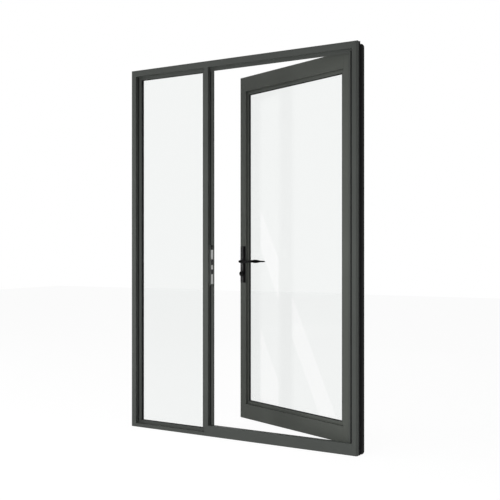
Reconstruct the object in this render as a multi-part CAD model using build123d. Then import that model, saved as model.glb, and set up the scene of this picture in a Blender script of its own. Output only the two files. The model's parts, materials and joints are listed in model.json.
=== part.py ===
from build123d import *
import os

# A hinged glazed door with a fixed glazed sidelight in one slender metal frame.
# Millimetres, X to the right, Y away from the approach side, Z up.
# The origin is on the underside of the frame, at mid width and mid depth.
# The leaf hangs at the right jamb on three barrel hinges and stands ajar, as modelled.

# Overall size of the frame
frame_width = 1530.0
frame_height = 2300.0
frame_depth = 90.0

# Front face of jambs, mullion and head, with its bevelled outer lip
face_width = 33.0
head_face = 40.0
lip_width = 9.0
lip_setback = 1.5
hinge_lip_setback = 9.0
face_depth = 24.0

# Stop round both bays, the groove beside the face and the rebate behind the stop
sight_inset = 60.0
stop_thickness = 8.0
stop_groove = 8.0
hinge_groove = 16.0
groove_depth = 5.0
rebate_inset = 27.0

# Front and rear shells with the insulating core between them
body_inset = 10.0
lip_depth = 28.0
core_start = 50.0
core_end = 66.0
core_recess = 2.0

# Mullion between sidelight and door, measured from the left edge of the frame
mullion_left = 546.0
mullion_width = 27.0
mullion_stop = 24.0

# Bottom members
sill_face = 22.0
sill_sight = 40.0
threshold_height = 65.0
threshold_gap = 8.0
threshold_edge = 2.0

# Anchor strips and seals at both sides
anchor_leg = 3.0
anchor_start = 33.0
anchor_end = 80.0
anchor_flange_start = 46.0
anchor_flange = 4.0
anchor_reach = 23.0
anchor_corner = 22.0
seal_reach = 6.0
seal_thickness = 3.0

# Glass units and what holds them
pane_thickness = 5.0
spacer_width = 10.0
unit_thickness = 20.0
gasket_thickness = 3.0
gasket_lip = 1.5
glass_bite = 11.0
side_bead_depth = 26.0
side_bead_cover = 27.0
side_bead_rim = 7.0
bead_mitre = 40.0

# Door leaf
leaf_overlap = 21.5
leaf_bottom_overlap = 16.0
closed_clearance = 5.5
stile_face = 46.0
rail_face = 94.0
bead_foot = 7.0
bead_height = 21.0
bead_slope = 2.0
bead_front = 12.0
bead_groove = 15.0
bead_back = 18.0
gasket_show = 5.0
leaf_glass_inset = 4.0
leg_cover = 10.0
leg_rim = 3.0
open_angle = 20.0

# Hinges
hinge_axis_inset = 35.0
hinge_axis_standoff = 10.0
knuckle_radius = 7.0
pin_radius = 4.0
pin_clearance = 0.08
knuckle_length = 30.0
knuckle_gap = 0.5
knuckle_room = 1.0
hinge_plate = 3.0
hinge_plate_reach = 22.0
hinge_web = 4.0
hinge_end = 260.0
hinge_names = ["bottom", "middle", "top"]

# Lever set and lock
spindle_height = 1067.0
lock_backset = 25.5
spindle_to_cylinder = 80.0
plate_height = 236.0
plate_width = 38.0
plate_thickness = 8.0
plate_corner = 4.0
plate_rise = 20.0
spindle_size = 8.0
neck_radius = 9.0
neck_room = 0.5
neck_length = 36.0
lever_length = 122.0
lever_root = 18.0
lever_tip = 11.0
lever_thickness = 12.0
lever_tip_thickness = 8.0
lever_edge = 2.0
rose_radius = 19.0
rose_height = 13.0
cylinder_radius = 8.5
cylinder_room = 0.3
cylinder_overrun = 3.0
face_plate_height = 235.0
face_plate_width = 22.0
face_plate_thickness = 3.0
latch_height = 34.0
bolt_height = 28.0
bolt_width = 13.0
bolt_offset = 30.0
strike_height = 213.0
strike_width = 27.0
strike_depth = 60.5
strike_bottom = 928.6
notch_margin = 6.0

# Values worked out from the driving sizes
left = -frame_width / 2
right = frame_width / 2
front = -frame_depth / 2
rear = frame_depth / 2
stop_front = front + face_depth
stop_rear = stop_front + stop_thickness
rebate_relief = face_width - rebate_inset
mullion_x0 = left + mullion_left
mullion_x1 = mullion_x0 + mullion_width
mullion_mid = (mullion_x0 + mullion_x1) / 2
sill_drop = sight_inset - sill_sight
leaf_front = stop_rear + closed_clearance
leaf_left = mullion_x1 + mullion_stop - leaf_overlap
leaf_right = right - sight_inset + leaf_overlap
leaf_top = frame_height - sight_inset + leaf_overlap
leaf_bottom = threshold_height - leaf_bottom_overlap
leaf_mid = (leaf_front + rear) / 2
hinge_x = right - hinge_axis_inset
hinge_y = rear + hinge_axis_standoff
hinge_half = 1.5 * knuckle_length
hinge_heights = [hinge_end, frame_height / 2, frame_height - hinge_end]
cylinder_height = spindle_height - spindle_to_cylinder
lock_x = leaf_left + lock_backset
plate_bottom = cylinder_height + spindle_to_cylinder / 2 + plate_rise - plate_height / 2
strike_middle = strike_bottom + strike_height / 2
through = 400.0
mitre = 150.0

os.makedirs("parts", exist_ok=True)


def save(shape, name):
    export_step(shape, os.path.join("parts", name + ".step"))


def box(x0, x1, y0, y1, z0, z1):
    """A block between two corners."""
    centre = ((x0 + x1) / 2, (y0 + y1) / 2, (z0 + z1) / 2)
    return Pos(*centre) * Box(x1 - x0, y1 - y0, z1 - z0)


def section(points):
    """A closed outline through the given points."""
    return make_face(Polyline(*points, close=True))


def upright(points, z0=0.0, z1=frame_height):
    """An outline given as (x, y), extruded upwards."""
    return Pos(0, 0, z0) * extrude(section(points), z1 - z0, dir=(0, 0, 1))


def lengthwise(points, x0, x1):
    """An outline given as (y, z), extruded along X."""
    plane = Plane(origin=(x0, 0, 0), x_dir=(0, 1, 0), z_dir=(1, 0, 0))
    return extrude(plane * section(points), x1 - x0, dir=(1, 0, 0))


def elevation(face, y0, y1):
    """A face drawn as (x, z), extruded from y0 to y1."""
    plane = Plane(origin=(0, y0, 0), x_dir=(1, 0, 0), z_dir=(0, -1, 0))
    return extrude(plane * face, y1 - y0, dir=(0, 1, 0))


def ring(x0, x1, z0, z1, width, y0, y1):
    """A rectangular ring of one width around a bay."""
    inner = box(x0 + width, x1 - width, y0 - 1, y1 + 1, z0 + width, z1 - width)
    return box(x0, x1, y0, y1, z0, z1) - inner


def splayed(x0, x1, z0, z1, width, end_width, y0, y1):
    """A rectangular ring whose inner faces slope from one width to another."""
    bays = []
    for w, y in ((width, y0), (end_width, y1)):
        plane = Plane(origin=((x0 + x1) / 2, y, (z0 + z1) / 2), x_dir=(1, 0, 0), z_dir=(0, 1, 0))
        bays.append(plane * Rectangle(x1 - x0 - 2 * w, z1 - z0 - 2 * w))
    return box(x0, x1, y0, y1, z0, z1) - loft(bays)


def disc(radius, x, z, y0, y1):
    """A round bar along Y."""
    return Pos(x, (y0 + y1) / 2, z) * Rot(90, 0, 0) * Cylinder(radius, y1 - y0)


def turned(shape):
    """A piece of the leaf, brought from the closed to the ajar position."""
    return shape.rotate(Axis((hinge_x, hinge_y, 0), (0, 0, 1)), -open_angle)


# Outlines of the frame members, as (inset from the outer edge, depth from the front)
def front_outline(face, groove=0.0, setback=lip_setback):
    back = face_depth + stop_thickness
    floor = face_depth + groove_depth
    points = [(0, setback), (lip_width, 0), (face, 0)]
    if groove:
        points += [(face, floor), (face + groove, floor)]
    points += [(face + groove, face_depth), (sight_inset, face_depth), (sight_inset, back)]
    points += [(rebate_inset, back), (rebate_inset, core_start), (body_inset, core_start)]
    return points + [(body_inset, lip_depth), (0, lip_depth)]


def rear_outline():
    return [(body_inset, core_end), (rebate_inset, core_end), (rebate_inset, frame_depth),
            (body_inset, frame_depth)]


def core_outline():
    low = body_inset + core_recess
    high = rebate_inset - core_recess
    return [(low, core_start), (high, core_start), (high, core_end), (low, core_end)]


def left_jamb(outline):
    return upright([(left + t, front + d) for t, d in outline])


def right_jamb(outline):
    return upright([(right - t, front + d) for t, d in outline])


def head(outline):
    return lengthwise([(front + d, frame_height - t) for t, d in outline], left, right)


def corner_regions():
    """Regions of head and jambs, parted at 45 degrees in the upper corners."""
    low = frame_height - mitre
    top = section([(left, frame_height), (right, frame_height), (right - mitre, low), (left + mitre, low)])
    side = section([(left, frame_height), (left + mitre, low), (left + mitre, 0), (left, 0)])
    top_region = elevation(top, -through, through)
    left_region = elevation(side, -through, through)
    return top_region, left_region, mirror(left_region, Plane.YZ)


def head_space(inset):
    """Room of the head that the mullion is cut around, down to an inset in its body."""
    face = box(left, right, front - 1, stop_front, frame_height - head_face, frame_height)
    stop = box(left, right, stop_front, stop_rear, frame_height - sight_inset, frame_height)
    return face + stop + box(left, right, stop_front, rear + 1, frame_height - inset, frame_height)


def sill_outline():
    """Section of the sidelight sill as (depth, height)."""
    low = rebate_inset - sill_drop
    back = face_depth + stop_thickness
    return [(0, 0), (0, sill_face), (face_depth, sill_face), (face_depth, sill_sight), (back, sill_sight),
            (back, low), (frame_depth, low), (frame_depth, 0)]


def threshold_outline():
    """Section of the raised threshold as (depth, height)."""
    low = leaf_bottom - threshold_gap
    back = face_depth + stop_thickness
    return [(0, 0), (0, threshold_height - threshold_edge), (threshold_edge, threshold_height),
            (back, threshold_height), (back, low), (frame_depth - threshold_edge, low - threshold_edge),
            (frame_depth, low - 2 * threshold_edge), (frame_depth, 0)]


def build_bottom():
    """Sill of the sidelight and threshold of the door, from jamb to the middle of the mullion."""
    sill = lengthwise([(front + d, z) for d, z in sill_outline()], left, mullion_mid)
    threshold = lengthwise([(front + d, z) for d, z in threshold_outline()], mullion_mid, right)
    back = face_depth + stop_thickness
    foot = [(0, -1), (face_width, -1), (face_width, face_depth), (sight_inset, face_depth),
            (sight_inset, back), (rebate_inset, back), (rebate_inset, frame_depth + 1), (0, frame_depth + 1)]
    save(sill - left_jamb(foot), "sidelight_sill")
    save(threshold - right_jamb(foot), "door_threshold")
    return sill + threshold


def notch():
    """The break in the mullion's stop that leaves room for the closed leaf's back plate."""
    z1 = plate_bottom + plate_height + notch_margin
    return box(mullion_x1, mullion_x1 + mullion_stop + 1, stop_front, stop_rear + 1,
               plate_bottom - notch_margin, z1)


def strike_block():
    """The strike plate before its cut-outs, also the pocket it lies in."""
    x = mullion_x1 - rebate_relief
    y = front + strike_depth
    return box(x - face_plate_thickness, x, y - strike_width / 2, y + strike_width / 2,
               strike_bottom, strike_bottom + strike_height)


def mullion_outline():
    """Half section of the mullion's front shell, as (distance from its middle, depth)."""
    half = mullion_width / 2
    floor = face_depth + groove_depth
    back = face_depth + stop_thickness
    return [(half, 0), (half, floor), (half + stop_groove, floor), (half + stop_groove, face_depth),
            (half + mullion_stop, face_depth), (half + mullion_stop, back), (half - rebate_relief, back),
            (half - rebate_relief, core_start)]


def build_mullion(bottom):
    """Front shell with a stop on both sides, rear shell, and the core between them."""
    inner0 = mullion_x0 + rebate_relief
    inner1 = mullion_x1 - rebate_relief
    outline = mullion_outline()
    points = [(mullion_mid + t, front + d) for t, d in outline]
    points += [(mullion_mid - t, front + d) for t, d in reversed(outline)]
    cut = head_space(rebate_inset) + bottom + strike_block()
    save(upright(points) - cut - notch(), "mullion_front_shell")
    save(box(inner0, inner1, front + core_end, rear, 0, frame_height) - cut, "mullion_rear_shell")
    core = box(inner0 + core_recess, inner1 - core_recess, front + core_start, front + core_end,
               0, frame_height)
    return core - head_space(rebate_inset - core_recess) - bottom - strike_block()


def hinge_recess(z):
    """Recess in the right jamb for the fixed plate of a hinge."""
    x = right - rebate_inset
    return box(x - 1, x + hinge_plate, rear - hinge_plate_reach, rear + 1, z - hinge_half, z + hinge_half)


def build_frame():
    """Head, jambs, mullion and bottom members with the core between their shells."""
    top_region, left_region, right_region = corner_regions()
    drop = box(left + face_width, right - face_width, front, stop_front, frame_height - head_face,
               frame_height - face_width)
    save((head(front_outline(head_face)) & top_region) + drop, "head_front_shell")
    save(head(rear_outline()) & top_region, "head_rear_shell")
    save(left_jamb(front_outline(face_width, stop_groove)) & left_region, "left_jamb_front_shell")
    save(left_jamb(rear_outline()) & left_region, "left_jamb_rear_shell")
    outline = front_outline(face_width, hinge_groove, hinge_lip_setback)
    save(right_jamb(outline) & right_region, "right_jamb_front_shell")
    rear_shell = right_jamb(rear_outline()) & right_region
    for z in hinge_heights:
        rear_shell -= hinge_recess(z)
    save(rear_shell, "right_jamb_rear_shell")
    bottom = build_bottom()
    core = left_jamb(core_outline()) & left_region
    core += head(core_outline()) & top_region
    core += right_jamb(core_outline()) & right_region
    core += build_mullion(bottom)
    save(core - bottom, "insulating_core")


def build_sides():
    """Anchor strip and seal along each jamb."""
    edge = left + body_inset
    top = frame_height - body_inset
    flange_y = front + anchor_flange_start
    leg = box(edge - anchor_leg, edge, front + anchor_start, front + anchor_end, 0, top)
    outline = Rectangle(2 * (anchor_reach + body_inset - anchor_leg), top)
    rounded = fillet(outline.vertices(), anchor_corner)
    flange = elevation(Pos(edge - anchor_leg, top / 2) * rounded, flange_y, flange_y + anchor_flange)
    flange = flange & box(left - anchor_reach - 1, edge - anchor_leg, -through, through, -1, top + 1)
    strip = leg + flange
    seal_y = front + lip_depth
    seal = box(left - seal_reach, edge, seal_y, seal_y + seal_thickness, 0, frame_height)
    for piece, name in ((strip, "anchor_strip"), (seal, "side_seal")):
        save(piece, name + "_left")
        save(mirror(piece, Plane.YZ), name + "_right")


def glass_unit(x0, x1, z0, z1, y0, y1):
    """A sealed unit: two panes with the spacer along their edges."""
    spacer = ring(x0, x1, z0, z1, spacer_width, y0 + pane_thickness, y1 - pane_thickness)
    first = box(x0, x1, y0, y0 + pane_thickness, z0, z1)
    second = box(x0, x1, y1 - pane_thickness, y1, z0, z1)
    return first + spacer + second


def mitred(shape, x0, x1, z0, z1, name, place=None):
    """Saves the four sides of a ring, parted at 45 degrees in its corners."""
    m = bead_mitre
    sides = {
        "left": [(x0, z0), (x0 + m, z0 + m), (x0 + m, z1 - m), (x0, z1)],
        "right": [(x1, z0), (x1, z1), (x1 - m, z1 - m), (x1 - m, z0 + m)],
        "top": [(x0, z1), (x0 + m, z1 - m), (x1 - m, z1 - m), (x1, z1)],
        "bottom": [(x0, z0), (x1, z0), (x1 - m, z0 + m), (x0 + m, z0 + m)],
    }
    for side, points in sides.items():
        piece = shape & elevation(section(points), -through, through)
        save(place(piece) if place else piece, name + "_" + side)


def build_sidelight():
    """Fixed glazing of the left bay: sealed unit behind the stop, two gaskets and four rear beads."""
    x0 = left + rebate_inset
    x1 = mullion_x0 + rebate_relief
    z0 = rebate_inset - sill_drop
    z1 = frame_height - rebate_inset
    inset = sight_inset - rebate_inset - glass_bite
    y0 = stop_rear + gasket_thickness
    y1 = y0 + unit_thickness
    save(glass_unit(x0 + inset, x1 - inset, z0 + inset, z1 - inset, y0, y1), "sidelight_glass")
    gasket = Part()
    for lip, y in ((glass_bite + gasket_lip, stop_rear), (side_bead_cover - inset, y1)):
        gasket += ring(x0 + inset, x1 - inset, z0 + inset, z1 - inset, lip, y, y + gasket_thickness)
    save(gasket, "sidelight_gasket")
    y2 = y1 + gasket_thickness
    bead = splayed(x0, x1, z0, z1, side_bead_cover, side_bead_rim, y2, y2 + side_bead_depth)
    mitred(bead, x0, x1, z0, z1, "sidelight_bead")


def leaf_box(inset_x, inset_z, y0, y1):
    return box(leaf_left + inset_x, leaf_right - inset_x, y0, y1, leaf_bottom + inset_z, leaf_top - inset_z)


def leaf_bay(inset):
    """Limits of a rectangle inside the inner edges of stiles and rails."""
    x0 = leaf_left + stile_face + inset
    x1 = leaf_right - stile_face - inset
    return x0, x1, leaf_bottom + rail_face + inset, leaf_top - rail_face - inset


def leaf_ring(inset, width, d0, d1):
    """A ring around the leaf's bay, at an inset from the inner edge of stiles and rails."""
    return ring(*leaf_bay(inset), width, leaf_front + d0, leaf_front + d1)


def face_plate_block():
    z0 = strike_middle - face_plate_height / 2
    return box(leaf_left, leaf_left + face_plate_thickness, leaf_mid - face_plate_width / 2,
               leaf_mid + face_plate_width / 2, z0, z0 + face_plate_height)


def leaf_hinge_recess(z):
    return box(leaf_right - hinge_plate, leaf_right + 1, rear - hinge_plate_reach, rear + 1,
               z - hinge_half, z + hinge_half)


def leaf_body():
    """Stiles and rails as one block, with the splayed leg behind the glass and the lock's bores."""
    body = leaf_box(0, 0, leaf_front, rear) - leaf_box(stile_face, rail_face, leaf_front - 1, rear + 1)
    leg_start = leaf_front + bead_back + 2 * gasket_thickness + unit_thickness
    body += splayed(*leaf_bay(0), leg_cover, leg_rim, leg_start, rear)
    body -= face_plate_block()
    body -= disc(neck_radius + 1, lock_x, spindle_height, leaf_front - 1, rear + 1)
    body -= disc(cylinder_radius, lock_x, cylinder_height, leaf_front - 1, rear + 1)
    for z in hinge_heights:
        body -= leaf_hinge_recess(z)
    return body


def build_leaf():
    """Stiles, rails, beads, gaskets and the sealed unit of the leaf."""
    body = leaf_body()
    edge0, edge1, sill, lintel = leaf_bay(0)
    outer, inner, _, _ = leaf_bay(leg_cover)
    middle = (sill + lintel) / 2
    parts = {
        "leaf_lock_stile": box(leaf_left - 1, edge0, -through, through, 0, frame_height)
        + box(edge0, outer, -through, through, sill, lintel),
        "leaf_hinge_stile": box(edge1, leaf_right + 1, -through, through, 0, frame_height)
        + box(inner, edge1, -through, through, sill, lintel),
        "leaf_top_rail": box(edge0, edge1, -through, through, lintel, frame_height)
        + box(outer, inner, -through, through, middle, lintel),
        "leaf_bottom_rail": box(edge0, edge1, -through, through, 0, sill)
        + box(outer, inner, -through, through, sill, middle),
    }
    for name, region in parts.items():
        save(turned(body & region), name)
    bead = leaf_ring(0, bead_height, bead_groove, bead_back)
    rise = bead_height - bead_foot
    bead += splayed(*leaf_bay(bead_foot), rise - bead_slope, rise, leaf_front + bead_front,
                    leaf_front + bead_back)
    mitred(bead, edge0, edge1, sill, lintel, "leaf_bead", turned)
    d0 = bead_back + gasket_thickness
    d1 = d0 + unit_thickness
    unit = glass_unit(*leaf_bay(leaf_glass_inset), leaf_front + d0, leaf_front + d1)
    save(turned(unit), "leaf_glass")
    gasket = leaf_ring(bead_foot, rise + gasket_show, bead_back, d0)
    gasket += leaf_ring(leaf_glass_inset, leg_cover - leaf_glass_inset + gasket_lip, d1, d1 + gasket_thickness)
    save(turned(gasket), "leaf_gasket")


def build_hinges():
    """Three barrel hinges: plate, outer knuckles and pin on the jamb, middle knuckle on the leaf."""
    room_radius = knuckle_radius + knuckle_room
    half = knuckle_length / 2
    for name, z in zip(hinge_names, hinge_heights):
        x0 = right - rebate_inset
        z0 = z - hinge_half
        z1 = z + hinge_half
        plate = box(x0, x0 + hinge_plate, rear - hinge_plate_reach, hinge_y, z0, z1)
        web = box(hinge_x, x0 + hinge_plate, hinge_y - hinge_web, hinge_y, z0, z1)
        barrel = Pos(hinge_x, hinge_y, z) * Cylinder(knuckle_radius, 2 * hinge_half)
        room = Pos(hinge_x, hinge_y, z) * Cylinder(room_radius, knuckle_length + 2 * knuckle_gap)
        pin = Pos(hinge_x, hinge_y, z) * Cylinder(pin_radius, 2 * hinge_half)
        save(plate + web + barrel - room + pin, "hinge_" + name + "_jamb_part")
        plate = box(leaf_right - hinge_plate, leaf_right, rear - hinge_plate_reach, rear, z0, z1)
        plate += box(leaf_right - hinge_plate, leaf_right, rear, hinge_y, z - half, z + half)
        barrel = Pos(hinge_x, hinge_y, z) * Cylinder(knuckle_radius, knuckle_length)
        bore = Pos(hinge_x, hinge_y, z) * Cylinder(pin_radius + pin_clearance, knuckle_length + 2)
        clear = Part()
        for side in (-1, 1):
            middle = z + side * (half + knuckle_gap + half)
            clear += Pos(hinge_x, hinge_y, middle) * Cylinder(room_radius, knuckle_length)
        save(turned(plate + barrel - bore - clear), "hinge_" + name + "_door_part")


def bolt_cuts(x, y):
    """Two cut-outs for latch and bolt, one above the other."""
    cuts = Part()
    for z, height in ((strike_middle + bolt_offset, latch_height), (strike_middle - bolt_offset, bolt_height)):
        cuts += box(x - 10, x + 10, y - bolt_width / 2, y + bolt_width / 2, z - height / 2, z + height / 2)
    return cuts


def build_lock():
    """Face plate on the leaf and strike plate on the mullion."""
    save(turned(face_plate_block()), "lock_face_plate")
    strike = strike_block() - bolt_cuts(mullion_x1 - rebate_relief, front + strike_depth)
    save(strike, "strike_plate")


def lever(face, out):
    """A round neck from the plate and a flat grip that tapers both ways towards the hinges."""
    end = face + out * neck_length
    root = face - out * plate_thickness
    back = end - out * lever_thickness
    tip_back = end - out * lever_tip_thickness
    rim = lever_root / 2
    tip_x = lock_x + lever_length
    outline = make_hull((Circle(rim) + Pos(lever_length, 0) * Circle(lever_tip / 2)).edges())
    grip = elevation(Pos(lock_x, spindle_height) * outline, min(back, end), max(back, end))
    plan = [(lock_x - rim, end), (tip_x + rim, end), (tip_x + rim, tip_back), (lock_x + rim, back),
            (lock_x - rim, back)]
    grip = grip & upright(plan, spindle_height - rim, spindle_height + rim)
    grip = chamfer(grip.faces().sort_by(Axis.Y)[0 if out < 0 else -1].edges(), lever_edge)
    neck = disc(neck_radius, lock_x, spindle_height, min(root, end - out), max(root, end - out))
    half = spindle_size / 2
    inner = face + out * neck_length / 2
    slot = box(lock_x - half, lock_x + half, min(root - out, inner), max(root - out, inner),
               spindle_height - half, spindle_height + half)
    return neck + grip - slot


def build_handles():
    """Back plates with cylinder roses, cylinder, spindle and a lever on each side."""
    for name, face, out in (("near", leaf_front, -1), ("far", rear, 1)):
        outer = face + out * plate_thickness
        crown = outer + out * rose_height
        outline = Rectangle(plate_width, plate_height)
        outline = Pos(lock_x, plate_bottom + plate_height / 2) * fillet(outline.vertices(), plate_corner)
        plate = elevation(outline, min(face, outer), max(face, outer))
        plate += disc(rose_radius, lock_x, cylinder_height, min(face, crown), max(face, crown))
        plate -= disc(neck_radius + neck_room, lock_x, spindle_height, -through, through)
        plate -= disc(cylinder_radius, lock_x, cylinder_height, -through, through)
        save(turned(plate), name + "_back_plate")
        save(turned(lever(outer, out)), name + "_lever")
    reach = plate_thickness + rose_height + cylinder_overrun
    barrel = disc(cylinder_radius - cylinder_room, lock_x, cylinder_height, leaf_front - reach, rear + reach)
    save(turned(barrel), "lock_cylinder")
    half = spindle_size / 2
    ends = plate_thickness + neck_length / 2
    bar = box(lock_x - half, lock_x + half, leaf_front - ends, rear + ends,
              spindle_height - half, spindle_height + half)
    save(turned(bar), "spindle")


build_frame()
build_sides()
build_sidelight()
build_leaf()
build_hinges()
build_lock()
build_handles()
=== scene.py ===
import json
import math

import bmesh
import bpy
from mathutils import Matrix, Vector


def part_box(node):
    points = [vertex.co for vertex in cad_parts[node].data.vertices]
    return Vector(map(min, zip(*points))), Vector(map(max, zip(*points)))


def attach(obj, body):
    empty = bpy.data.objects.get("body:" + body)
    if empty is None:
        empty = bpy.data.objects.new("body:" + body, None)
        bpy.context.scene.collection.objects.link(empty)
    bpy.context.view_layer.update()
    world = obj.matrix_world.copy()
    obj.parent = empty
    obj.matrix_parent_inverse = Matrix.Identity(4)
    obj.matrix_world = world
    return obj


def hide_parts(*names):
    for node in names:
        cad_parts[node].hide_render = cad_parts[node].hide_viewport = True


bl_info = {
    "name": "Glazed door with sidelight",
    "version": (1, 0, 0),
    "blender": (4, 5, 0),
    "location": "View3D > Sidebar > Door set",
    "description": "Finishes and fittings of a glazed door with a sidelight",
    "category": "Object",
}

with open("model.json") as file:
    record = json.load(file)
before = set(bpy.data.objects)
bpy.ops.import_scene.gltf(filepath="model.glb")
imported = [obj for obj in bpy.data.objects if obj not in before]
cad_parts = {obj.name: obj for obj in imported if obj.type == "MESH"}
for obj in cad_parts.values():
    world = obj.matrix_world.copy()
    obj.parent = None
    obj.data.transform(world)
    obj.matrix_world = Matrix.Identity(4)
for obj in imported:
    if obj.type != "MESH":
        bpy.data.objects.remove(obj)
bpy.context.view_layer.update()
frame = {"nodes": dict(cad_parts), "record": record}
NODES = frame["nodes"]
RECORD = frame["record"]
BODIES = RECORD["behaviour"]["bodies"]
SLOTS = {part["node"]: part["material_slot"] for part in RECORD["subparts"]}
HINGE = next(joint for joint in RECORD["behaviour"]["joints"] if joint["name"] == "leaf_hinge")
AXLE = Matrix.Translation(HINGE["pos_m"])
AJAR = AXLE @ Matrix.Rotation(math.radians(HINGE["range_deg"][0]), 4, "Z") @ AXLE.inverted()

# Small sizes in metres that belong to one shape each
SAME = 1e-6                 # two places this near are one
PLAY = 0.0002               # room left where two pieces meet
LIP_BED = 0.0015            # how far the lock stile's lip starts inside the stile
PANE_EDGE = 0.0004          # flat on the edges of a pane
SPACER_PLAY = 0.0001        # between a spacer and its panes
SPACER_EDGE = 0.0012
WEDGE_HEIGHT = 0.0028
WEDGE_EDGE = 0.0009
WEDGE_HIDDEN = 0.7          # share of the sidelight's wedge lip that the mullion hides
PLATE_EDGE = 0.0012
FOOT_HEIGHT = 0.003
FOOT_EDGE = 0.0008
COLLAR_HEIGHT = 0.0025
COLLAR_EDGE = 0.0008
PLATE_SCREW = 0.013         # from the end of a back plate to its screw
LIT_FACE_RIM = 0.0015          # black rim left round the lighter front of a back plate, whose lighter tone is painted light
LIT_FACE_SUNK = 0.001
LIT_FACE_PROUD = 0.0006
LIT_FACE_EDGE = 0.0005
CYLINDER_PROUD = 0.0015
CYLINDER_EDGE = 0.0008
PLUG_STEP = 0.0006          # depth of the cylinder's turning plug in its ring
KEYWAY = (0.0007, 0.0003, 0.0036)           # half its width, depth and height
LATCH_AND_BOLT = ((-0.030, 0.034), (0.030, 0.028))  # drop below the plate's middle, and height
LATCH_HALF = 0.0062
LATCH_SUNK = 0.001
LATCH_PROUD = 0.0006
FACE_SCREW = 0.012          # from the end of the face plate to its screw
FACE_EDGE = 0.0008
SMALL_EDGE = 0.0005
POCKET_HALF = 0.011
POCKET_MARGIN = 0.001       # how far a pocket reaches past its latch or bolt
POCKET_SUNK = 0.0012
POCKET_PROUD = 0.0005
SHADE_LINING_DEPTH = 0.013         # of the dark sheet of painted shade in the rebate before the strike plate
SHADE_LINING_SUNK = 0.0004
SHADE_LINING_PROUD = 0.0009
SHADE_LINING_EDGE = 0.0003

# Painted reflection: two slanting light bands painted into the colour of two upright strips of the
# leaf's glass: stops and their softness
GLINT_SLANT = 2.07
GLINT_HEIGHT = 2.5         # the height at which the bands' scale ends
GLINT_BANDS = ((0.260, 0.004), (0.464, 0.006), (0.566, 0.006))
GLINT_STRIPS = ((0.006, 0.004), (0.160, 0.004), (0.268, 0.004))
GLINT_LIGHT = 0.45

# Size, place and target of each lamp
LAMPS = {"key": ((4.6, 0.5), (0.4, -2.1, 1.05), (0.4, 0.0, 1.05)),
         "side": ((2.0, 1.6), (-6.0, -2.5, 1.2), (0.1, 0.2, 1.2)),
         "fill": ((3.0, 3.0), (-0.5, 3.5, 2.6), (0.0, 0.0, 1.1))}


# Sizes and colours

class FinishSettings(bpy.types.PropertyGroup):
    frame_colour: bpy.props.FloatVectorProperty(
        name="Frame colour", description="Powder coat of the frame", subtype="COLOR",
        size=3, min=0.0, max=1.0, default=(0.089, 0.096, 0.089))
    # Painted light: the leaf has the frame's powder coat made lighter, which paints more light on
    # it
    leaf_lit_colour: bpy.props.FloatVectorProperty(
        name="Leaf colour", description="Powder coat of the leaf", subtype="COLOR",
        size=3, min=0.0, max=1.0, default=(0.102, 0.109, 0.098))
    coat_roughness: bpy.props.FloatProperty(
        name="Coat roughness", description="Roughness of the powder coat", subtype="FACTOR",
        min=0.0, max=1.0, default=0.55)
    black_colour: bpy.props.FloatVectorProperty(
        name="Black fittings", description="Coat of levers, plates and hinges", subtype="COLOR",
        size=3, min=0.0, max=1.0, default=(0.012, 0.012, 0.012))
    rubber_colour: bpy.props.FloatVectorProperty(
        name="Rubber", description="Gaskets and seals", subtype="COLOR",
        size=3, min=0.0, max=1.0, default=(0.014, 0.014, 0.015))
    steel_colour: bpy.props.FloatVectorProperty(
        name="Steel", description="Strike plate, face plate and cylinder", subtype="COLOR",
        size=3, min=0.0, max=1.0, default=(0.56, 0.56, 0.55))
    glass_colour: bpy.props.FloatVectorProperty(
        name="Glass", description="Body colour of the panes", subtype="COLOR",
        size=3, min=0.0, max=1.0, default=(0.949, 0.957, 0.953))


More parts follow.
